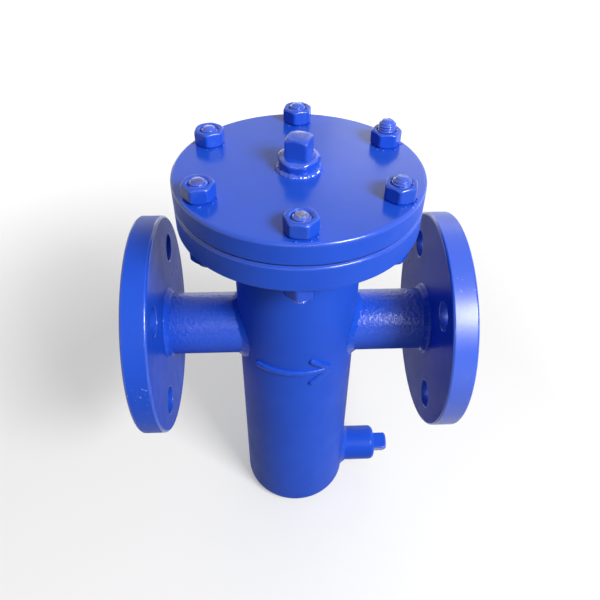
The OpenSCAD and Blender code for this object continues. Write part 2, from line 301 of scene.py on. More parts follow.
def enamel(
    name,
    roughness,
    specular,
    grain=0.0018,
    grain_depth=0.00002,
    bare=None,
    steel=scuffed_steel,
    shine=0.6,
    dust=None,
):
    """Thick enamel with a grain of a size and a depth in metres.

    bare makes a mask of where enamel is missing, steel the colour there, and shine how metallic it is.
    dust makes the least roughness of each place.
    """
    material, tree, shader = new_material(name)
    tone = ramp(tree, cloud(tree, 0.05, 3.0), 0.35, 0.7)
    colour = blend_colours(tree, tone, ENAMEL, ENAMEL_DEEP)
    sheen = ramp(tree, cloud(tree, 0.012, 4.0), 0.3, 0.7, roughness - 0.03, roughness + 0.04)
    if dust is not None:
        sheen = calculate(tree, "MAXIMUM", sheen, dust(tree))
    if bare is not None:
        mask = bare(tree)
        colour = blend_colours(tree, mask, colour, steel(tree))
        sheen = calculate(tree, "MAXIMUM", sheen, ramp(tree, mask, 0.0, 1.0, 0.0, 0.5))
        tree.links.new(ramp(tree, mask, 0.0, 1.0, 0.0, shine), shader.inputs["Metallic"])
    tree.links.new(colour, shader.inputs["Base Color"])
    tree.links.new(sheen, shader.inputs["Roughness"])
    shader.inputs["IOR"].default_value = 1.55
    shader.inputs["Specular IOR Level"].default_value = specular
    add_bump(tree, shader, cloud(tree, grain, 3.0), grain_depth)
    return material


def within(distance, radius):
    """A mask for what lies nearer to an axis than a radius."""

    def mask(tree):
        return ramp(tree, distance(tree), radius, radius + FADE, 1.0, 0.0)

    return mask


def from_body_axis(tree):
    """Distance from the upright axis of the body."""
    return axis_distance(tree, (1, 1, 0))


def from_pipe_axis(tree):
    """Distance from the axis of the pipe connections."""
    return axis_distance(tree, (0, 1, 1), (0, 0, PIPE_Z))


def neck_dust(tree):
    """Roughness that grows from the upper side of a neck to its underside."""
    height = axis_value(tree, "Z")
    return ramp(tree, height, PIPE_Z - 0.4 * NECK_R, PIPE_Z + 0.7 * NECK_R, 0.85, 0.0)


def flange_bare(tree):
    """The raised sealing faces of the pipe flanges and the weld inside their bores."""
    distance = calculate(tree, "ABSOLUTE", axis_value(tree, "X"), 0.0)
    face = ramp(tree, distance, FLANGE_END - 4 * FADE, FLANGE_END - 2 * FADE)
    return calculate(tree, "MAXIMUM", face, within(from_pipe_axis, NECK_R)(tree))


def chips(tree):
    """Small chips in the paint, in a few patches."""
    patches = ramp(tree, cloud(tree, 0.03), 0.5, 0.65)
    flecks = ramp(tree, cloud(tree, 0.0024, 3.0), 0.66, 0.7)
    return calculate(tree, "MULTIPLY", patches, flecks)


def cover_bare(tree):
    """The underside of the cover."""
    return ramp(tree, axis_value(tree, "Z"), COVER_LOW.z + FADE, COVER_LOW.z + 2 * FADE, 1.0, 0.0)


def body_flange_bare(tree):
    """The body flange's sealing face."""
    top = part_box("body_flange")[1].z
    return ramp(tree, axis_value(tree, "Z"), top - 2 * FADE, top - FADE)


def cap_bare(tree):
    """The inside of the bottom cap."""
    inner = within(from_body_axis, BORE_R)(tree)
    above = ramp(tree, axis_value(tree, "Z"), CAP_FLOOR - 3 * FADE, CAP_FLOOR - FADE)
    return calculate(tree, "MULTIPLY", inner, above)


def worn_end(axis, end, depth, amount, spot, fade):
    """A mask for the scuffed end of a plug or stud along an axis, in spots with fading edges."""

    def mask(tree):
        place = ramp(tree, axis_value(tree, axis), end - depth, end - depth / 3)
        scuffs = ramp(tree, cloud(tree, spot, 5.0), amount, amount + fade)
        return calculate(tree, "MULTIPLY", place, scuffs)

    return mask


def stud_bare(low_nut, high_nut, tip):
    """A mask for a stud: bare between its two nuts, and scuffed where the tip mask says."""

    def mask(tree):
        height = axis_value(tree, "Z")
        above = ramp(tree, height, low_nut, low_nut + 2 * FADE)
        below = ramp(tree, height, high_nut - 2 * FADE, high_nut, 1.0, 0.0)
        return calculate(tree, "MAXIMUM", calculate(tree, "MULTIPLY", above, below), tip(tree))

    return mask


def metal(name, light, dark, roughness, streak):
    """Satin steel with fine streaks along one direction."""
    material, tree, shader = new_material(name)
    grain = cloud(tree, 0.0006, 4.0, streak)
    stain = ramp(tree, cloud(tree, 0.02, 4.0), 0.2, 0.8, 0.35, 1.0)
    mix = calculate(tree, "MULTIPLY", ramp(tree, grain, 0.3, 0.75), stain)
    sheen = ramp(tree, grain, 0.3, 0.7, roughness - 0.06, roughness + 0.1)
    tree.links.new(blend_colours(tree, mix, light, dark), shader.inputs["Base Color"])
    tree.links.new(sheen, shader.inputs["Roughness"])
    shader.inputs["Metallic"].default_value = 1.0
    add_bump(tree, shader, grain, 0.000012)
    return material


def gasket_sheet():
    """Dark fibre sheet, with paint on its outer edge."""
    material, tree, shader = new_material("gasket_sheet")
    fibre = cloud(tree, 0.0009, 5.0)
    colour = blend_colours(tree, fibre, GASKET, GASKET_FIBRE)
    inner = within(from_body_axis, GASKET_R - 4 * FADE)(tree)
    tree.links.new(blend_colours(tree, inner, GASKET_EDGE, colour), shader.inputs["Base Color"])
    shader.inputs["Roughness"].default_value = 0.75
    add_bump(tree, shader, fibre, 0.00006)
    return material


inside = {"steel": stained_steel, "shine": 0.4}
turned_upright = {"steel": turned_steel(from_body_axis), "shine": 0.8}
turned_along_pipe = {"steel": turned_steel(from_pipe_axis), "shine": 0.8}
chipped = {"bare": chips, "steel": primer, "shine": 0.0}
body_bore = within(from_body_axis, BORE_R)
neck_inside = {"bare": within(from_pipe_axis, NECK_BORE_R), "dust": neck_dust, **inside}
vent_plug_worn = worn_end("Z", VENT_PLUG_TOP, depth=1.6 * MM, amount=0.42, spot=0.005, fade=1.2)
drain_plug_worn = worn_end("X", DRAIN_PLUG_END, depth=1.2 * MM, amount=0.5, spot=0.003, fade=0.6)

cover_enamel = enamel("cover_enamel", 0.5, 0.25, bare=cover_bare, **turned_upright)
cover_top_enamel = enamel("cover_top_enamel", 0.19, 0.38)
edge_enamel = enamel("edge_enamel", 0.2, 0.5, 0.004, 0.00008, **chipped)
nut_enamel = enamel("nut_enamel", 0.24, 0.2, 0.003, 0.00006)
body_enamel = enamel("body_enamel", 0.55, 0.25, bare=body_bore, **inside)
cap_enamel = enamel("cap_enamel", 0.55, 0.25, bare=cap_bare, **inside)
socket_enamel = enamel("socket_enamel", 0.3, 0.1)
body_flange_enamel = enamel("body_flange_enamel", 0.5, 0.25, bare=body_flange_bare, **turned_upright)
seam_enamel = enamel("seam_enamel", 0.24, 0.4)
inlet_rim_enamel = enamel("inlet_rim_enamel", 0.5, 0.2, **chipped)
outlet_rim_enamel = enamel("outlet_rim_enamel", 0.36, 0.8, **chipped)
flange_face_enamel = enamel("flange_face_enamel", 0.3, 0.02, bare=flange_bare, **turned_along_pipe)
neck_enamel = enamel("neck_enamel", 0.26, 0.4, 0.002, 0.0004, **neck_inside)
collar_enamel = enamel("collar_enamel", 0.17, 0.75, 0.002, 0.0001)
weld_enamel = enamel("weld_enamel", 0.24, 0.15, 0.002, 0.0003)
vent_plug_enamel = enamel("vent_plug_enamel", 0.2, 0.45, bare=vent_plug_worn, shine=0.1)
drain_plug_enamel = enamel("drain_plug_enamel", 0.24, 0.2, bare=drain_plug_worn, shine=0.1)
steel_satin = metal("steel_satin", STAINLESS, STAINLESS_DULL, 0.34, (1, 1, 0.05))
steel_wire = metal("steel_wire", STAINLESS, STAINLESS_DULL, 0.3, (1, 1, 1))
steel_thread = metal("steel_thread", BARE_STEEL, SCUFFED_STEEL, 0.42, (1, 1, 1))
gasket_material = gasket_sheet()


# Pieces


# Creases of the kinds of piece, in degrees
WELD_CREASE = 60
ROUND_CREASE = 50
SOLID_CREASE = 40
HEAD_CREASE = 35

# Cosines from which a face is square to an axis, or leans towards it
SQUARE = 0.99
LEANING = 0.1

# Edges that paint rounds: how sharp in degrees, how wide and in how many steps
SHARP_ANGLE = 28
COVER_ROUND = 0.5 * MM
FLANGE_ROUND = 0.6 * MM
ROUND_STEPS = 3

# Cleaning of a mesh: what is one point, one flat face in degrees, and too short an edge
SAME_POINT = 0.01 * MM
FLAT_ANGLE = 0.5
SHORT_EDGE = 0.002 * MM


def paint_zones(piece, material, zones):
    """Gives a piece a material, and other materials to the faces that each zone's test takes."""
    paint(piece, material)
    for slot, (other, takes) in enumerate(zones, 1):
        piece.data.materials.append(other)
        for face in piece.data.polygons:
            if takes(face):
                face.material_index = slot


def softened(node, body, width, material, *zones):
    """A node with its edges rounded, as thick paint rounds them. Zones are as in paint_zones."""
    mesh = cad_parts[node].data.copy()
    if "custom_normal" in mesh.attributes:
        mesh.attributes.remove(mesh.attributes["custom_normal"])
    work = bmesh.new()
    work.from_mesh(mesh)
    bmesh.ops.remove_doubles(work, verts=work.verts, dist=SAME_POINT)
    flat = math.radians(FLAT_ANGLE)
    bmesh.ops.dissolve_limit(work, angle_limit=flat, verts=work.verts, edges=work.edges)
    limit = math.radians(SHARP_ANGLE)
    edges = [e for e in work.edges if len(e.link_faces) == 2 and e.calc_face_angle(0) > limit]
    bmesh.ops.bevel(
        work,
        geom=edges,
        offset=width,
        segments=ROUND_STEPS,
        affect="EDGES",
        profile=0.5,
        clamp_overlap=True,
    )
    bmesh.ops.dissolve_degenerate(work, dist=SHORT_EDGE, edges=work.edges)
    work.to_mesh(mesh)
    work.free()
    smooth(mesh, SOLID_CREASE)
    piece = link(node + "_painted", mesh)
    shading = piece.modifiers.new("even_shading", "WEIGHTED_NORMAL")
    shading.keep_sharp = True
    paint_zones(piece, material, zones)
    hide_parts(node)
    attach(piece, body)


def faces_up(face):
    """Whether a face is level and looks up."""
    return face.normal.z > SQUARE


def leans_up(face):
    """Whether a face is part of a rounded upper edge."""
    return LEANING < face.normal.z <= SQUARE


def in_sealing_face(face):
    """Whether a face belongs to a pipe flange's raised face or to the bore in it."""
    return math.hypot(face.center.y, face.center.z - PIPE_Z) < SEALING_R


def faces_along_pipe(face):
    """Whether a face stands square to the pipe or belongs to a sealing face."""
    return abs(face.normal.x) > SQUARE or in_sealing_face(face)


def leans_along_pipe(face):
    """Whether a face is part of a painted edge that is square to the pipe."""
    return LEANING < abs(face.normal.x) <= SQUARE and not in_sealing_face(face)


def ring_piece(name, rings, crease, loop=True):
    """A piece through rings of points, which meet in a loop or else end in two caps."""
    count = len(rings[0])
    last = len(rings) if loop else len(rings) - 1
    faces = []
    for i in range(last):
        here, there = i * count, (i + 1) % len(rings) * count
        for k in range(count):
            step = (k + 1) % count
            faces.append((here + k, here + step, there + step, there + k))
    if not loop:
        faces.append(tuple(reversed(range(count))))
        faces.append(tuple(range(last * count, len(rings) * count)))
    mesh = bpy.data.meshes.new(name)
    mesh.from_pydata([tuple(point) for ring in rings for point in ring], [], faces)
    work = bmesh.new()
    work.from_mesh(mesh)
    bmesh.ops.recalc_face_normals(work, faces=work.faces)
    work.to_mesh(mesh)
    work.free()
    smooth(mesh, crease)
    return link(name, mesh)


# Weld beads: leg, hollow (flat at 2), and ripple and lump as shares of the leg
NECK_BEAD = (3.2 * MM, 2.3, 0.08, 0.22)
DRAIN_BEAD = (3.6 * MM, 2.3, 0.03, 0.2)
VENT_BEAD = (2.1 * MM, 1.2, 0.03, 0.45)
FLANGE_BEAD = (1.08 * FLANGE_WELD, 1.7, 0.05, 0.08)
VENT_BEAD_INSET = 0.7 * MM

# How beads are drawn: their ripples, their steps and sides, and how they sway and are nicked
BEAD_PITCH = 2.4 * MM
BEAD_STEPS = 6
BEAD_SIDES = 8
BEAD_ROOT = 0.12
BEAD_MEAN = 0.6
BEAD_SWAYS = 5
BEAD_NICKS = 16
BEAD_NICK_SIZE = 1.4
BEAD_NICK_SEED = 9
BEAD_LEAN = 0.5


def weld_bead(name, body, place, length, seed, leg, hollow, ripple, lump):
    """A fillet bead. place(t) gives its root and its two leg directions, for t from 0 to 1."""
    ripples = round(length / BEAD_PITCH)
    steps = ripples * BEAD_STEPS
    rings = []
    for i in range(steps):
        t = i / steps
        root, first, second = place(t)
        crest = abs(math.sin(math.pi * ripples * t)) - BEAD_MEAN
        sway = noise.noise((spoke(TAU * t) + UP * seed) * BEAD_SWAYS)
        nick = noise.noise((spoke(TAU * t) + UP * (seed + BEAD_NICK_SEED)) * BEAD_NICKS)
        size = leg * (1 + ripple * (crest + BEAD_NICK_SIZE * nick) + lump * sway)
        lean = 1 + BEAD_LEAN * lump * sway
        ring = [root - (first + second) * leg * BEAD_ROOT]
        for k in range(BEAD_SIDES + 1):
            angle = k / BEAD_SIDES * math.pi / 2
            out = math.cos(angle) ** hollow * size * lean
            side = math.sin(angle) ** hollow * size
            ring.append(root + first * out + second * side)
        rings.append(ring)
    piece = ring_piece(name, rings, WELD_CREASE)
    paint(piece, weld_enamel)
    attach(piece, body)
    return piece


def saddle(pipe_r, axis_z, side):
    """Where a pipe along X, on the +X or -X side, meets the upright body tube."""

    def place(t):
        y = pipe_r * math.cos(TAU * t)
        rise = pipe_r * math.sin(TAU * t)
        x = math.sqrt(BODY_R**2 - y**2)
        along_body = Vector((-side * y / x * math.cos(TAU * t), math.cos(TAU * t), math.sin(TAU * t)))
        return Vector((side * x, y, axis_z + rise)), Vector((side, 0, 0)), along_body.normalized()

    return place


def upright_ring(radius, z, up):
    """A corner round an upright cylinder, on a flat face that the bead lies above (1) or below (-1)."""

    def place(t):
        outward = spoke(TAU * t)
        return outward * radius + UP * z, UP * up, outward

    return place


def lying_ring(radius, x, z, side):
    """A corner round a pipe along X, on a flat face that the bead lies on the +X or -X side of."""

    def place(t):
        outward = Vector((0, math.cos(TAU * t), math.sin(TAU * t)))
        return outward * radius + Vector((x, 0, z)), Vector((side, 0, 0)), outward

    return place


def add_welds():
    """Every weld: necks and sockets on the body and cover, and the flanges on their pipes."""
    neck_length = TAU * NECK_R
    for name, side, seed in (("inlet_weld", -1, 1), ("outlet_weld", 1, 2)):
        place = saddle(NECK_R, PIPE_Z, side)
        bead = weld_bead(name + "_bead", "body", place, neck_length, seed, *NECK_BEAD)
        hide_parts(name)
    place = saddle(DRAIN_R, DRAIN_Z, 1)
    bead = weld_bead("drain_weld_bead", "body", place, TAU * DRAIN_R, 3, *DRAIN_BEAD)
    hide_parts("drain_weld")
    place = upright_ring(VENT_R - VENT_BEAD_INSET, COVER_HIGH.z, 1)
    bead = weld_bead("vent_weld_bead", "cover", place, TAU * VENT_R, 4, *VENT_BEAD)
    paint(bead, collar_enamel)
    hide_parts("vent_weld")
    flange_back = FLANGE_END - RAISED_FACE - FLANGE_T
    for name, side, seed in (("inlet_flange_bead", -1, 5), ("outlet_flange_bead", 1, 6)):
        place = lying_ring(NECK_R, side * flange_back, PIPE_Z, -side)
        weld_bead(name, "body", place, neck_length, seed, *FLANGE_BEAD)
    place = upright_ring(BODY_R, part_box("body_flange")[0].z + FLANGE_WELD, -1)
    weld_bead("body_flange_bead", "body", place, TAU * BODY_R, 7, *FLANGE_BEAD)


# Vent socket: its wall, lip and waist, how uneven its side and its top are, and the steps round it
COLLAR_WALL = 2.85 * MM
COLLAR_LIP = 1.9 * MM
COLLAR_WAIST = 0.35 * MM
COLLAR_LUMP = 0.9 * MM
COLLAR_LUMPS_ROUND = 2.2
COLLAR_LUMPS_UP = 160
COLLAR_DIP = 0.63 * MM
COLLAR_DIPS_ROUND = 1.7
COLLAR_DIP_PLACE = Vector((7, 0, 0))
COLLAR_SIDES = 96
LIP_STEPS = 6
WAIST_STEPS = 8


def add_vent_socket():
    """The vent socket as hand welding left it: a round lip, a slight waist and an uneven side."""
    bottom, top = COVER_HIGH.z, VENT_TOP
    bore = VENT_R - COLLAR_WALL
    lip_r, lip_z = VENT_R - COLLAR_LIP, top - COLLAR_LIP
    profile = [(bore, bottom), (bore, top)]
    for k in range(LIP_STEPS + 1):
        angle = math.pi / 2 * (1 - k / LIP_STEPS)
        profile.append((lip_r + COLLAR_LIP * math.cos(angle), lip_z + COLLAR_LIP * math.sin(angle)))
    for k in range(1, WAIST_STEPS + 1):
        share = k / WAIST_STEPS
        waist = COLLAR_WAIST * math.sin(math.pi * share)
        profile.append((VENT_R - waist, lip_z * (1 - share) + bottom * share))
    rings = []
    for i in range(COLLAR_SIDES):
        outward = spoke(TAU * i / COLLAR_SIDES)
        dip = COLLAR_DIP * noise.noise(outward * COLLAR_DIPS_ROUND + COLLAR_DIP_PLACE)
        ring = []
        for radius, z in profile:
            free = min(1.0, (radius - bore) / COLLAR_LIP)
            lump = COLLAR_LUMP * noise.noise(outward * COLLAR_LUMPS_ROUND + UP * COLLAR_LUMPS_UP * z)
            drop = dip * free if z > bottom else 0.0
            ring.append(outward * (radius + lump * free) + UP * (z + drop))
        rings.append(ring)
    piece = ring_piece("vent_socket_painted", rings, ROUND_CREASE)
    paint(piece, collar_enamel)
    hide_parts("vent_socket")
    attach(piece, "cover")


# Seam paint: how it lies to the cover, its edge, the flange and the gasket, and how it waves
SEAM_GAP = 0.35 * MM
SEAM_INSET = 0.45 * MM
SEAM_SINK = 0.2 * MM
SEAM_BACK = 0.1 * MM
SEAM_SLOPE = 0.25 * MM
SEAM_WAVE = 0.15 * MM
SEAM_WAVES = 6
SEAM_SIDES = 180


def add_seam():
    """The paint that filled most of the gap round the gasket, in an uneven ring."""
    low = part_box("body_flange")[1].z - SEAM_SINK
    high = COVER_LOW.z - SEAM_GAP
    back = GASKET_R + SEAM_BACK
    rings = []
    for i in range(SEAM_SIDES):
        outward = spoke(TAU * i / SEAM_SIDES)
        reach = COVER_HIGH.x - SEAM_INSET - SEAM_WAVE * noise.noise(outward * SEAM_WAVES)
        corners = ((back, low), (back, high), (reach - SEAM_SLOPE, high), (reach, low))
        rings.append([outward * radius + UP * z for radius, z in corners])
    piece = ring_piece("seam_paint", rings, ROUND_CREASE)
    paint(piece, seam_enamel)
    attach(piece, "body")


# Painted edges of nuts and plug heads: how round, the flat rim at the end, and depths that are drawn
EDGE_ROUND = 1.2 * MM
EDGE_RIM = 0.3 * MM
EDGE_DEPTHS = [depth * MM for depth in (0.04, 0.12, 0.25, 0.4, 0.6, 0.85, 1.15, 1.5, 2.1)]
CHAMFER_ANGLE = math.radians(30)


def soft_least(first, second, softness):
    """The lesser of two lengths, rounded off where they cross."""
    overlap = max(0.0, softness - abs(first - second)) / softness
    return min(first, second) - overlap * overlap * softness / 4


def soft_prism(sides, flat, rim, turn, depth):
    """Reach of a soft prism with a chamfered end, at a turn from a corner and a depth below the end."""
    step = math.pi / sides
    from_corner = (turn + step) % (2 * step) - step
    flats = [flat / math.cos(from_corner + side * step) for side in (-1, 1)]
    cone = rim + depth / math.tan(CHAMFER_ANGLE)
    return soft_least(soft_least(*flats, EDGE_ROUND), cone, EDGE_ROUND)


# Plugs: the head's middle, the shoulder under it, the thread with its tapered lead, and the steps
HEAD_MIDDLE = 0.6
HEAD_GAP = 0.05 * MM
PLUG_SHOULDER = 0.8 * MM
PLUG_PITCH = 1.337 * MM
PLUG_GROOVE = 0.75 * MM
PLUG_SHARPNESS = 1.4
PLUG_LEAD = 0.84
PLUG_LEAD_GROWTH = 0.08
PLUG_ROWS = 8
PLUG_SIDES = 96


def add_plug(node, material, mouth, along, leans):
    """A square-headed plug with its thread behind a socket's mouth. along points out of the socket."""
    places = [v.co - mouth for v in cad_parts[node].data.vertices]
    heights = [place.dot(along) for place in places]
    spreads = [place - along * height for place, height in zip(places, heights)]
    top, bottom = max(heights), min(heights)
    radius = max(s.length for s, height in zip(spreads, heights) if height < bottom / 2)
    corner = max(spreads, key=lambda spread: spread.length)
    flat = corner.length / math.sqrt(2)
    across = corner.normalized()
    third = along.cross(across)
    turns = [TAU * k / PLUG_SIDES for k in range(PLUG_SIDES)]
    spokes = [across * math.cos(turn) + third * math.sin(turn) for turn in turns]

    def ring(height, reaches):
        middle = mouth + along * height
        return [middle + way * reach for way, reach in zip(spokes, reaches)]

    shoulder = [radius] * PLUG_SIDES
    rings = [ring(-PLUG_SHOULDER, shoulder), ring(-HEAD_GAP, shoulder)]
    for depth in [top, top * HEAD_MIDDLE] + EDGE_DEPTHS[::-1]:
        rings.append(ring(top - depth, [soft_prism(4, flat, flat, turn, depth) for turn in turns]))
    rings.append(ring(top, [flat - EDGE_RIM] * PLUG_SIDES))
    head = ring_piece(node + "_painted", rings, HEAD_CREASE, loop=False)
    paint_zones(head, material, ((edge_enamel, leans),))
    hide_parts(node)
    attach(head, node)

    threaded = -bottom - PLUG_SHOULDER
    rows = round(threaded / PLUG_PITCH * PLUG_ROWS)
    rings = []
    for i in range(rows + 1):
        down = threaded * i / rows
        lead = min(1.0, PLUG_LEAD + (threaded - down) / PLUG_PITCH * PLUG_LEAD_GROWTH)
        reaches = []
        for turn in turns:
            groove = (0.5 - 0.5 * math.cos(TAU * down / PLUG_PITCH + turn)) ** PLUG_SHARPNESS
            reaches.append(min(radius * lead, radius - PLUG_GROOVE * groove))
        rings.append(ring(-PLUG_SHOULDER - down, reaches))
    piece = ring_piece(node + "_thread", rings, ROUND_CREASE, loop=False)
    paint(piece, steel_thread)
    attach(piece, node)


def add_plugs():
    """The vent plug in the cover and the drain plug low on the outlet side."""
    add_plug("vent_plug", vent_plug_enamel, UP * VENT_TOP, UP, leans_up)
    mouth = Vector((DRAIN_HIGH.x, 0, DRAIN_Z))
    add_plug("drain_plug", drain_plug_enamel, mouth, Vector((1, 0, 0)), leans_along_pipe)


# Nuts: the countersink, the rim and the reach of the hole as shares of the nut, and the steps round it
NUT_SINK = 0.9 * MM
NUT_RIM = 0.96
NUT_HOLE = 0.36
NUT_SIDES = 120


def nut_thread(node):
    """Which faces of a nut are its threaded hole, clear of the painted edges."""
    low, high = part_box(node)
    middle = (low + high) / 2
    reach = (high.x - low.x) * NUT_HOLE
    half = (high.z - low.z) / 2 - PAINT_DEPTH

    def takes(face):
        offset = face.center - middle
        return offset.xy.length < reach and abs(offset.z) < half

    return takes


def add_nut(node, body):
    """A hexagon nut with edges that thick paint rounded, and a countersunk hole."""
    low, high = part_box(node)
    middle = (low + high) / 2
    half = (high.z - low.z) / 2
    offsets = [v.co.xy - middle.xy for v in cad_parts[node].data.vertices]
    corner = max(offsets, key=lambda offset: offset.length)
    start = math.atan2(corner.y, corner.x)
    flat = corner.length * math.cos(math.pi / 6)
    bore = min(offset.length for offset in offsets)
    rim = flat * NUT_RIM
    hole = [(bore, NUT_SINK - half), (bore, half - NUT_SINK)]
    top = [(bore + NUT_SINK, half), (rim - EDGE_RIM, half)]
    base = [(radius, -z) for radius, z in reversed(top)]
    heights = [half - depth for depth in EDGE_DEPTHS]
    heights += [-height for height in reversed(heights)]
    rings = []
    for i in range(NUT_SIDES):
        turn = TAU * i / NUT_SIDES
        outside = [(soft_prism(6, flat, rim, turn, half - abs(z)), z) for z in heights]
        profile = hole + top + outside + base
        rings.append([middle + spoke(start + turn) * radius + UP * z for radius, z in profile])
    piece = ring_piece(node + "_painted", rings, HEAD_CREASE)
    paint_zones(piece, nut_enamel, ((edge_enamel, leans_up), (steel_thread, nut_thread(node))))
    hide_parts(node)
    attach(piece, body)


# Studs: the thread, the tapered tip, and how far the tip is scuffed bare, for some studs by number
THREAD_PITCH = 1.5 * MM
THREAD_DEPTH = 0.62 * MM
THREAD_SHARPNESS = 1.5
THREAD_ROWS = 8
THREAD_SIDES = 28
TIP_HEIGHT = 2.2 * MM
TIP_FLAT = 0.5
TIP_CURVE = 0.75
SCUFF_DEPTH = 1.1 * MM
SCUFF_SPOT = 0.0016
SCUFF_FADE = 0.35
PLAIN_TIP = (0.62, scuffed_steel)
STUD_TIPS = {4: (0.4, rusty_steel), 5: (0.3, scuffed_steel)}


def add_stud(number, amount, steel):
    """A threaded stud with tapered ends, painted where it stands out and scuffed bare at its tip."""
    node = f"stud_{number}"
    low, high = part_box(node)
    middle = (low + high) / 2
    radius = (high.x - low.x) / 2
    length = high.z - low.z
    rows = round(length / THREAD_PITCH * THREAD_ROWS)
    rings = []
    for i in range(rows + 1):
        rise = length * i / rows
        share = min(1.0, min(rise, length - rise) / TIP_HEIGHT)
        limit = radius * (TIP_FLAT + (1 - TIP_FLAT) * share**TIP_CURVE)
        ring = []
        for k in range(THREAD_SIDES):
            phase = rise / THREAD_PITCH - k / THREAD_SIDES
            groove = (0.5 + 0.5 * math.cos(TAU * phase)) ** THREAD_SHARPNESS
            reach = limit - THREAD_DEPTH * groove * min(1.0, 2 * share)
            ring.append(middle + spoke(TAU * k / THREAD_SIDES) * reach + UP * (rise - length / 2))
        rings.append(ring)
    piece = ring_piece(node + "_thread", rings, ROUND_CREASE, loop=False)
    tip = worn_end("Z", high.z, SCUFF_DEPTH, amount, SCUFF_SPOT, SCUFF_FADE)
    low_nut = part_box(f"lower_nut_{number}")[0].z + PAINT_DEPTH
    high_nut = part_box(f"cover_nut_{number}")[1].z - PAINT_DEPTH
    worn = stud_bare(low_nut, high_nut, tip)
    paint(piece, enamel(node + "_enamel", 0.2, 0.8, bare=worn, steel=steel))
    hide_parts(node)
    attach(piece, "body")


# Paint drops: how many, how large and flat, how far from the nut, and at which angles in degrees
DROPS_PER_NUT = 4
DROP_SIZE = 0.65 * MM
DROP_VARIETY = 0.7
DROP_FLATNESS = 0.6
DROP_GAP = 0.4 * MM
DROP_START = -130
DROP_STEP = 28
DROP_SCATTER = 40
DROP_TURN = 9


def add_paint_drops():
    """Small drops of paint that dried on the cover at the front of each nut."""
    work = bmesh.new()
    for i in STUDS:
        low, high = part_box(f"cover_nut_{i}")
        middle = Vector(((low.x + high.x) / 2, (low.y + high.y) / 2, COVER_HIGH.z))
        reach = (high.x - low.x) / 2 + DROP_GAP
        for k in range(DROPS_PER_NUT):
            pick = noise.noise(Vector((i * 3.7, k * 5.3, 0.5)))
            angle = math.radians(DROP_START + DROP_STEP * k + DROP_SCATTER * pick + DROP_TURN * i)
            size = DROP_SIZE * (1 + DROP_VARIETY * abs(pick))
            place = Matrix.Translation(middle + spoke(angle) * reach)
            shape = place @ Matrix.Diagonal((size, size, DROP_FLATNESS * size, 1))
            bmesh.ops.create_icosphere(work, subdivisions=2, radius=1, matrix=shape)
    mesh = bpy.data.meshes.new("paint_drops")
    work.to_mesh(mesh)
    work.free()
    mesh.shade_smooth()
    piece = link("paint_drops", mesh)
    paint(piece, edge_enamel)
    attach(piece, "cover")


# Flow arrow: its place on the body and its size
ARROW_ANGLE = math.radians(-97)
ARROW_Z = 0.157
ARROW_LENGTH = 0.05
ARROW_HEAD = 0.014
ARROW_SPREAD = 0.8

# Strokes of the arrow: width, height, how deep they are set in, their uneven sides and the steps along
STROKE_W = 4.4 * MM
STROKE_H = 2.2 * MM
STROKE_CURVE = 0.8
STROKE_END = 0.05
STROKE_SINK = 0.1 * MM
STROKE_ROOT = 0.6 * MM
STROKE_PITCH = 2.6 * MM
STROKE_RIPPLE = 0.02
STROKE_SWAY = 0.12
STROKE_SWAYS = 300
STROKE_STEPS = 40
STROKE_SIDES = 8


def on_body(across, z, out):
    """A point on the body's front, by its distance round the tube from the arrow's middle."""
    return spoke(ARROW_ANGLE + across / BODY_R) * (BODY_R + out) + UP * z


def raised_stroke(name, start, end, seed):
    """A raised line with round ends on the body tube. Its ends are a distance round and a height."""
    (x0, z0), (x1, z1) = start, end
    length = math.hypot(x1 - x0, z1 - z0)
    ahead = Vector(((x1 - x0) / length, (z1 - z0) / length))
    aside = Vector((-ahead.y, ahead.x))
    rings = []
    for i in range(STROKE_STEPS + 1):
        travel = length * i / STROKE_STEPS
        from_end = min(1.0, min(travel, length - travel) / (STROKE_W / 2))
        round_off = math.sqrt(max(0.0, 1 - (1 - from_end) ** 2))
        sway = noise.noise(Vector((travel * STROKE_SWAYS, seed, 0)))
        ripple = 1 + STROKE_RIPPLE * math.sin(TAU * travel / STROKE_PITCH) + STROKE_SWAY * sway
        share = max(STROKE_END, round_off) * ripple
        middle = Vector((x0, z0)) + ahead * travel
        ring = []
        for k in range(STROKE_SIDES + 1):
            angle = math.pi * k / STROKE_SIDES
            place = middle - aside * (math.cos(angle) * STROKE_W / 2 * share)
            rise = math.sin(angle) ** STROKE_CURVE * STROKE_H * share
            ring.append(on_body(place.x, place.y, rise - STROKE_SINK))
        ring.append(on_body(middle.x, middle.y, -STROKE_ROOT))
        rings.append(ring)
    piece = ring_piece(name, rings, ROUND_CREASE, loop=False)
    paint(piece, weld_enamel)
    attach(piece, "body")


def add_flow_arrow():
    """A raised arrow on the body's front that points from inlet to outlet."""
    tip = (ARROW_LENGTH / 2, ARROW_Z)
    raised_stroke("flow_arrow_shaft", (-ARROW_LENGTH / 2, ARROW_Z), tip, 1)
    for name, side in (("flow_arrow_upper", 1), ("flow_arrow_lower", -1)):
        barb = (tip[0] - ARROW_HEAD, ARROW_Z + side * ARROW_HEAD * ARROW_SPREAD)
        raised_stroke(name, barb, tip, side + 5)


# Wire mesh: the wire, the gap between wires, and how far they lie inside the lining's outer face
WIRE_D = 0.5 * MM
WIRE_GAP = 2.6 * MM
WIRE_INSET = 0.3 * MM


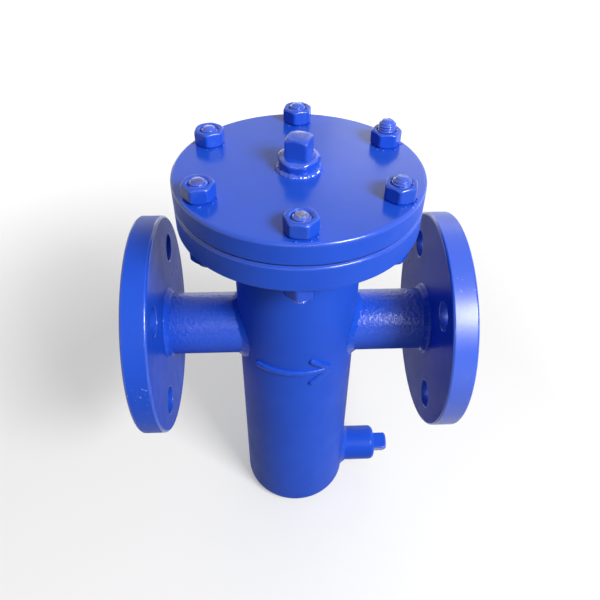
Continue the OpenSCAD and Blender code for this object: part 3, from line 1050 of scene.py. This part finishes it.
def add_wire_mesh():
    """The basket's lining: upright wires and rings, cut off level with the slanted rim."""
    low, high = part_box("basket_mesh")
    radius = high.x - WIRE_INSET
    rim_low, rim_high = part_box("basket_rim")
    slope = (rim_high.z - rim_low.z) / (rim_high.x - rim_low.x)
    wires = round(TAU * radius / WIRE_GAP)
    middle = (rim_low.z + rim_high.z) / 2
    curve = bpy.data.curves.new("basket_wires", "CURVE")
    curve.dimensions = "3D"
    curve.bevel_depth = WIRE_D / 2
    curve.bevel_resolution = 1
    curve.use_fill_caps = True

    def top(angle):
        return min(high.z, middle + slope * radius * math.cos(angle))

    def at(angle, z, out):
        return spoke(angle) * (radius + out) + UP * z

    def add_line(points, ring=False):
        if len(points) < 2:
            return
        line = curve.splines.new("POLY")
        line.use_cyclic_u = ring
        line.points.add(len(points) - 1)
        for point, place in zip(line.points, points):
            point.co = (*place, 1)

    for i in range(wires):
        angle = TAU * i / wires
        ends = (low.z + WIRE_D / 2, top(angle) - WIRE_D / 2)
        add_line([at(angle, z, -WIRE_D / 4) for z in ends])
    for row in range(1, int((high.z - low.z) / WIRE_GAP)):
        z = low.z + row * WIRE_GAP
        run = []
        for i in range(wires):
            angle = TAU * (i + wires // 2 + 0.5) / wires
            if z < top(angle) - WIRE_D:
                run.append(at(angle, z, WIRE_D / 4))
            else:
                add_line(run)
                run = []
        add_line(run, ring=len(run) == wires)
    source = link("basket_wires_curve", curve)
    shape = source.evaluated_get(bpy.context.evaluated_depsgraph_get())
    mesh = bpy.data.meshes.new_from_object(shape)
    bpy.data.objects.remove(source)
    mesh.shade_smooth()
    piece = link("basket_wires", mesh)
    paint(piece, steel_wire)
    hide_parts("basket_mesh")
    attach(piece, "basket")


def dress_nodes():
    """Painted copies with soft edges, and materials for the nodes that keep their own shape."""
    upper_edge = (edge_enamel, leans_up)
    softened("cover", "cover", COVER_ROUND, cover_enamel, (cover_top_enamel, faces_up), upper_edge)
    softened("body_flange", "body", COVER_ROUND, body_flange_enamel, (seam_enamel, leans_up))
    for node, rim in (("inlet_flange", inlet_rim_enamel), ("outlet_flange", outlet_rim_enamel)):
        zones = (flange_face_enamel, faces_along_pipe), (edge_enamel, leans_along_pipe)
        softened(node, "body", FLANGE_ROUND, rim, *zones)
    own_shape = {
        "body_tube": body_enamel,
        "bottom_cap": cap_enamel,
        "drain_socket": socket_enamel,
        "inlet_neck": neck_enamel,
        "outlet_neck": neck_enamel,
        "cover_gasket": gasket_material,
        "seat_plate": steel_satin,
        "basket_shell": steel_satin,
        "basket_floor": steel_satin,
        "basket_rim": steel_satin,
        "basket_handle": steel_satin,
    }
    for node, material in own_shape.items():
        paint(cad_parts[node], material)


# Stage, light and camera


def add_camera():
    """The camera of the photograph."""
    yaw, tilt, roll = (math.radians(a) for a in (CAMERA_YAW, CAMERA_TILT, CAMERA_ROLL))
    forward = Vector((math.sin(yaw) * math.cos(tilt), math.cos(yaw) * math.cos(tilt), -math.sin(tilt)))
    level = Vector((math.cos(yaw), -math.sin(yaw), 0))
    upward = level.cross(forward)
    right = math.cos(roll) * level + math.sin(roll) * upward
    up = math.cos(roll) * upward - math.sin(roll) * level
    data = bpy.data.cameras.new("camera")
    data.sensor_width = SENSOR_WIDTH
    data.lens = CAMERA_FOCUS / PHOTO_SIZE * SENSOR_WIDTH
    data.clip_start = CAMERA_NEAR
    camera = link("camera", data)
    turn = Matrix((right, up, -forward)).transposed()
    camera.matrix_world = Matrix.Translation(CAMERA_PLACE) @ turn.to_4x4()
    bpy.context.scene.camera = camera


def background_rays(tree):
    """A factor of 1 on rays that see the background: from the camera, or off metal and through glass."""
    rays = tree.nodes.new("ShaderNodeLightPath")
    seen = calculate(tree, "MAXIMUM", rays.outputs["Is Camera Ray"], rays.outputs["Is Glossy Ray"])
    return calculate(tree, "MAXIMUM", seen, rays.outputs["Is Transmission Ray"])


def add_floor():
    """A pale floor that keeps the shadow, throws little light back up and fades to white far off."""
    mesh = bpy.data.meshes.new("floor")
    reach = FLOOR_REACH
    corners = [(-reach, -reach, 0), (reach, -reach, 0), (reach, reach, 0), (-reach, reach, 0)]
    mesh.from_pydata(corners, [], [(0, 1, 2, 3)])
    floor = link("floor", mesh)
    material, tree, shader = new_material("pale_floor")
    seen = background_rays(tree)
    tree.links.new(blend_colours(tree, seen, FLOOR_BOUNCE, FLOOR_SEEN), shader.inputs["Base Color"])
    shader.inputs["Roughness"].default_value = 0.9
    shader.inputs["Specular IOR Level"].default_value = 0.0
    shader.inputs["Emission Color"].default_value = WHITE
    glow = ramp(tree, from_body_axis(tree), *FLOOR_DISTANCES, *FLOOR_GLOWS)
    tree.links.new(calculate(tree, "MULTIPLY", seen, glow), shader.inputs["Emission Strength"])
    paint(floor, material)


def add_surround():
    """Soft light from all round, strongest on its bright side, and plain white where it is seen."""
    world = bpy.context.scene.world or bpy.data.worlds.new("surround")
    bpy.context.scene.world = world
    world.use_nodes = True
    tree = world.node_tree
    source = tree.nodes.new("ShaderNodeTexCoord")
    lean = tree.nodes.new("ShaderNodeVectorMath")
    lean.operation = "DOT_PRODUCT"
    lean.inputs[1].default_value = BRIGHT_SIDE
    tree.links.new(source.outputs["Generated"], lean.inputs[0])
    fill = ramp(tree, lean.outputs["Value"], *FILL_COSINES, *FILL_STRENGTHS)
    missing = calculate(tree, "SUBTRACT", 1.0, fill)
    shown = calculate(tree, "MULTIPLY", background_rays(tree), missing)
    light = tree.nodes["Background"]
    light.inputs["Color"].default_value = WHITE
    tree.links.new(calculate(tree, "ADD", fill, shown), light.inputs["Strength"])


def add_lamp(name, azimuth, elevation, distance, width, height, power):
    """A soft lamp that points at the middle of the part."""
    level = math.cos(math.radians(elevation))
    side = level * math.sin(math.radians(azimuth))
    front = level * math.cos(math.radians(azimuth))
    away = Vector((side, -front, math.sin(math.radians(elevation))))
    data = bpy.data.lights.new(name, "AREA")
    data.shape = "RECTANGLE"
    data.size = width
    data.size_y = height
    data.energy = power
    lamp = link(name, data)
    middle = (cad_box[0] + cad_box[1]) / 2
    turn = away.to_track_quat("Z", "Y").to_matrix()
    lamp.matrix_world = Matrix.Translation(middle + away * distance) @ turn.to_4x4()


add_camera()
add_floor()
add_surround()
for lamp_name, lamp_values in LAMPS.items():
    add_lamp(lamp_name, *lamp_values)
dress_nodes()
add_vent_socket()
add_plugs()
add_seam()
add_welds()
for stud_number in STUDS:
    add_nut(f"cover_nut_{stud_number}", f"nut_{stud_number}")
    add_nut(f"lower_nut_{stud_number}", "body")
    add_stud(stud_number, *STUD_TIPS.get(stud_number, PLAIN_TIP))
add_paint_drops()
add_flow_arrow()
add_wire_mesh()

bpy.context.scene.view_settings.view_transform = "Standard"
